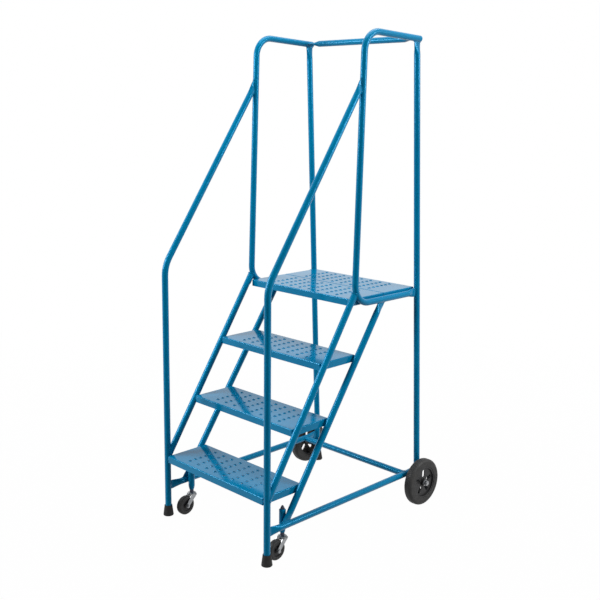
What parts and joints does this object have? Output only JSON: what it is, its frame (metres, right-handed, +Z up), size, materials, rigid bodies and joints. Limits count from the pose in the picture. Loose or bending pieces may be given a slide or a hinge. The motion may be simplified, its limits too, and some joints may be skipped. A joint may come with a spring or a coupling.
{
  "type": "mobile ladder stand",
  "caption": "Mobile ladder stand with treads, guarded platform, fixed rear wheels and spring-loaded swivel casters that retract so the feet plant under load.",
  "frame": {"origin": "on the floor, midway between the side frames and half way along the stand", "axes": "+X to the climber's right when facing the treads, +Y from the treads towards the rear wheels, +Z up"},
  "size_m": [0.7384, 0.961, 1.9309],
  "materials": {
    "frame_enamel": "gloss",
    "tread_enamel": "gloss",
    "foot_rubber": "matt",
    "tyre_rubber": "matt",
    "hub_plastic": "satin",
    "caster_hub_plastic": "satin",
    "zinc_steel": "zinc plated",
    "spring_steel": "oiled",
    "bush_nylon": "natural nylon"
  },
  "bodies": {
    "frame": {"left_front_leg_handrail": "frame_enamel", "left_guard_loop": "frame_enamel", "left_rear_post": "frame_enamel", "left_front_stringer": "frame_enamel", "left_rear_stringer": "frame_enamel", "left_base_rail": "frame_enamel", "left_front_foot": "foot_rubber", "left_rear_foot": "foot_rubber", "left_axle_sleeve": "frame_enamel", "left_rear_axle_bolt": "zinc_steel", "left_rear_axle_nut_washers": "zinc_steel", "left_caster_sleeve": "frame_enamel", "left_caster_guide_bush": "bush_nylon", "left_caster_spring": "spring_steel", "right_front_leg_handrail": "frame_enamel", "right_guard_loop": "frame_enamel", "right_rear_post": "frame_enamel", "right_front_stringer": "frame_enamel", "right_rear_stringer": "frame_enamel", "right_base_rail": "frame_enamel", "right_front_foot": "foot_rubber", "right_rear_foot": "foot_rubber", "right_axle_sleeve": "frame_enamel", "right_rear_axle_bolt": "zinc_steel", "right_rear_axle_nut_washers": "zinc_steel", "right_caster_sleeve": "frame_enamel", "right_caster_guide_bush": "bush_nylon", "right_caster_spring": "spring_steel", "top_rear_rail": "frame_enamel", "base_cross_brace": "frame_enamel", "bottom_tread": "tread_enamel", "middle_tread": "tread_enamel", "upper_tread": "tread_enamel", "platform_front_panel": "tread_enamel", "platform_rear_panel": "tread_enamel"},
    "left_stem": {"left_caster_stem": "zinc_steel", "left_caster_stem_nut": "zinc_steel", "left_caster_race_cup": "zinc_steel"},
    "left_fork": {"left_caster_fork": "zinc_steel", "left_caster_swivel_balls": "zinc_steel", "left_caster_axle_bolt_nut": "zinc_steel", "left_caster_axle_bush": "zinc_steel"},
    "left_caster_wheel": {"left_caster_wheel_hub": "caster_hub_plastic", "left_caster_tyre": "tyre_rubber"},
    "left_rear_wheel": {"left_rear_wheel_hub": "hub_plastic", "left_rear_tyre": "tyre_rubber", "left_rear_wheel_bush": "bush_nylon"},
    "right_stem": {"right_caster_stem": "zinc_steel", "right_caster_stem_nut": "zinc_steel", "right_caster_race_cup": "zinc_steel"},
    "right_fork": {"right_caster_fork": "zinc_steel", "right_caster_swivel_balls": "zinc_steel", "right_caster_axle_bolt_nut": "zinc_steel", "right_caster_axle_bush": "zinc_steel"},
    "right_caster_wheel": {"right_caster_wheel_hub": "caster_hub_plastic", "right_caster_tyre": "tyre_rubber"},
    "right_rear_wheel": {"right_rear_wheel_hub": "hub_plastic", "right_rear_tyre": "tyre_rubber", "right_rear_wheel_bush": "bush_nylon"}
  },
  "joints": [
    {"name": "left_caster_plunge", "type": "slide", "parent": "frame", "child": "left_stem", "axis": [0, 0, 1], "range_m": [0, 0.012], "stiffness_N_per_m": 8000, "springref_m": -0.018, "deforming": ["left_caster_spring"]},
    {"name": "left_caster_swivel", "type": "hinge", "parent": "left_stem", "child": "left_fork", "pos_m": [-0.2677, -0.35967, 0.08], "axis": [0, 0, 1], "continuous": true},
    {"name": "left_caster_roll", "type": "hinge", "parent": "left_fork", "child": "left_caster_wheel", "pos_m": [-0.2677, -0.39267, 0.0381], "axis": [1, 0, 0], "continuous": true},
    {"name": "left_rear_wheel_roll", "type": "hinge", "parent": "frame", "child": "left_rear_wheel", "pos_m": [-0.3345, 0.38367, 0.097], "axis": [1, 0, 0], "continuous": true},
    {"name": "right_caster_plunge", "type": "slide", "parent": "frame", "child": "right_stem", "axis": [0, 0, 1], "range_m": [0, 0.012], "stiffness_N_per_m": 8000, "springref_m": -0.018, "deforming": ["right_caster_spring"]},
    {"name": "right_caster_swivel", "type": "hinge", "parent": "right_stem", "child": "right_fork", "pos_m": [0.2677, -0.35967, 0.08], "axis": [0, 0, 1], "continuous": true},
    {"name": "right_caster_roll", "type": "hinge", "parent": "right_fork", "child": "right_caster_wheel", "pos_m": [0.2677, -0.39267, 0.0381], "axis": [1, 0, 0], "continuous": true},
    {"name": "right_rear_wheel_roll", "type": "hinge", "parent": "frame", "child": "right_rear_wheel", "pos_m": [0.3345, 0.38367, 0.097], "axis": [1, 0, 0], "continuous": true}
  ]
}
